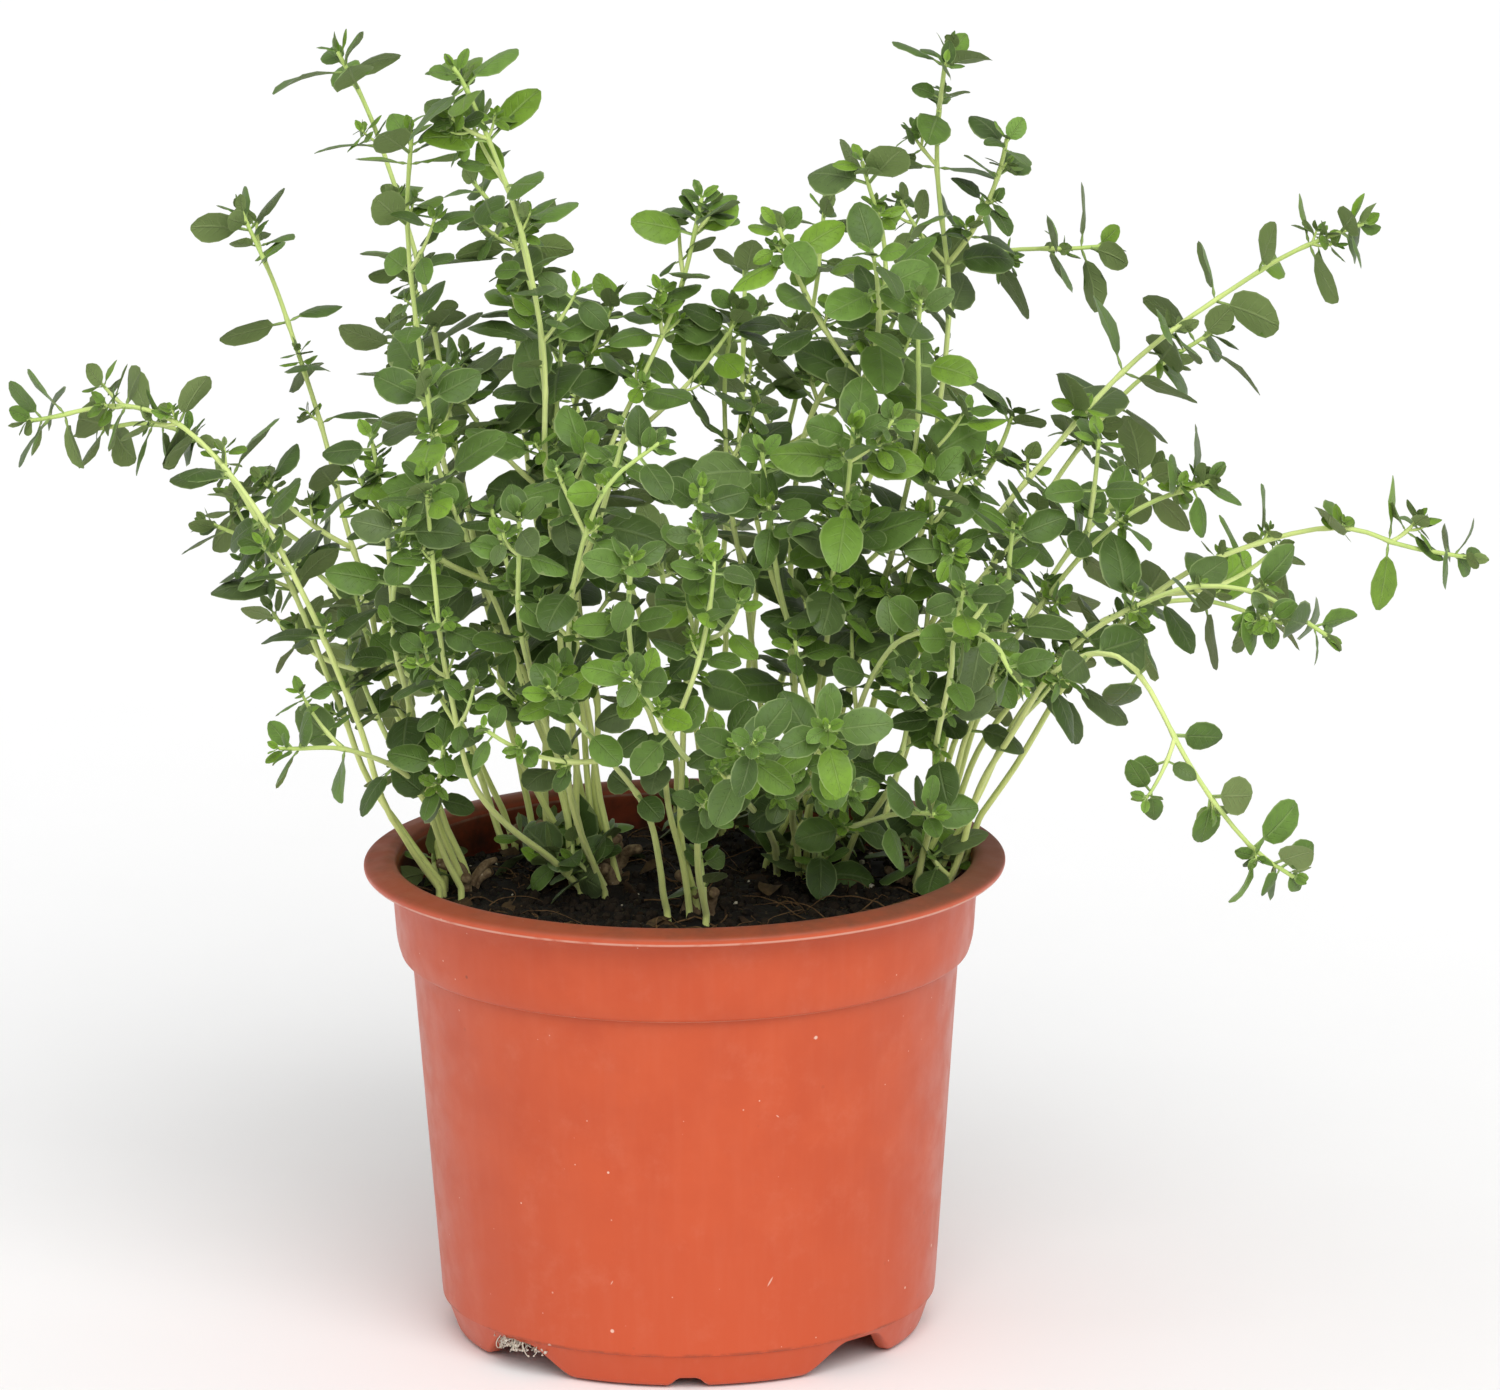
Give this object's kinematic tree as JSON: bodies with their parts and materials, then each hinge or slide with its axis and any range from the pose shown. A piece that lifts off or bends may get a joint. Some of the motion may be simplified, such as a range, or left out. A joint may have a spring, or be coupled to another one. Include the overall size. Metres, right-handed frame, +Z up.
{
  "type": "potted lemon thyme",
  "caption": "Bushy lemon thyme plant with slender opposite-leaved sprigs, rooted in dark peat in a round terracotta-coloured plastic nursery pot on four feet.",
  "frame": {"origin": "on the ground below the middle of the whole plant's box, 12.5 mm to the right of the pot's axis; the pot's feet stand on z = 0", "axes": "+Z up, +X to the right as seen from the front, +Y away from the viewer"},
  "size_m": [0.2785, 0.1912, 0.2539],
  "materials": {
    "pot_plastic": "moulded terracotta-coloured plastic, satin, with fine scuffs and dust",
    "compost": "dark moist peat with pale grains and tan fibres",
    "leaf": "soft matt green leaf with fine veins, paler below",
    "stem": "pale yellow-green square stem, finely downy"
  },
  "bodies": {
    "root": {"pot": "pot_plastic", "potting_soil": "compost", "sprig_left_01": "leaf", "sprig_left_02": "leaf", "sprig_left_03": "leaf", "sprig_left_04": "leaf", "sprig_left_05": "leaf", "sprig_left_06": "leaf", "sprig_middle_01": "leaf", "sprig_middle_02": "leaf", "sprig_middle_03": "leaf", "sprig_middle_04": "leaf", "sprig_middle_05": "leaf", "sprig_middle_06": "leaf", "sprig_middle_07": "leaf", "sprig_middle_08": "leaf", "sprig_middle_09": "leaf", "sprig_middle_10": "leaf", "sprig_middle_11": "leaf", "sprig_front_01": "leaf", "sprig_front_02": "leaf", "sprig_front_03": "leaf", "sprig_front_04": "leaf", "sprig_front_05": "leaf", "sprig_front_06": "leaf", "sprig_front_07": "leaf", "sprig_front_08": "leaf", "sprig_front_09": "leaf", "sprig_front_10": "leaf", "sprig_front_11": "leaf", "sprig_front_12": "leaf", "sprig_front_13": "leaf", "sprig_right_01": "leaf", "sprig_right_02": "leaf", "sprig_right_03": "leaf", "sprig_right_04": "leaf", "sprig_right_05": "leaf", "sprig_right_06": "leaf", "sprig_right_07": "leaf", "sprig_right_08": "leaf", "sprig_right_09": "leaf", "sprig_right_10": "leaf", "sprig_right_11": "leaf", "sprig_right_12": "leaf", "sprig_back_01": "leaf", "sprig_back_02": "leaf", "sprig_back_03": "leaf", "sprig_back_04": "leaf", "sprig_back_05": "leaf", "sprig_back_06": "leaf", "sprig_back_07": "leaf", "sprig_back_08": "leaf", "sprig_back_09": "leaf", "sprig_back_10": "leaf"}
  },
  "joints": []
}
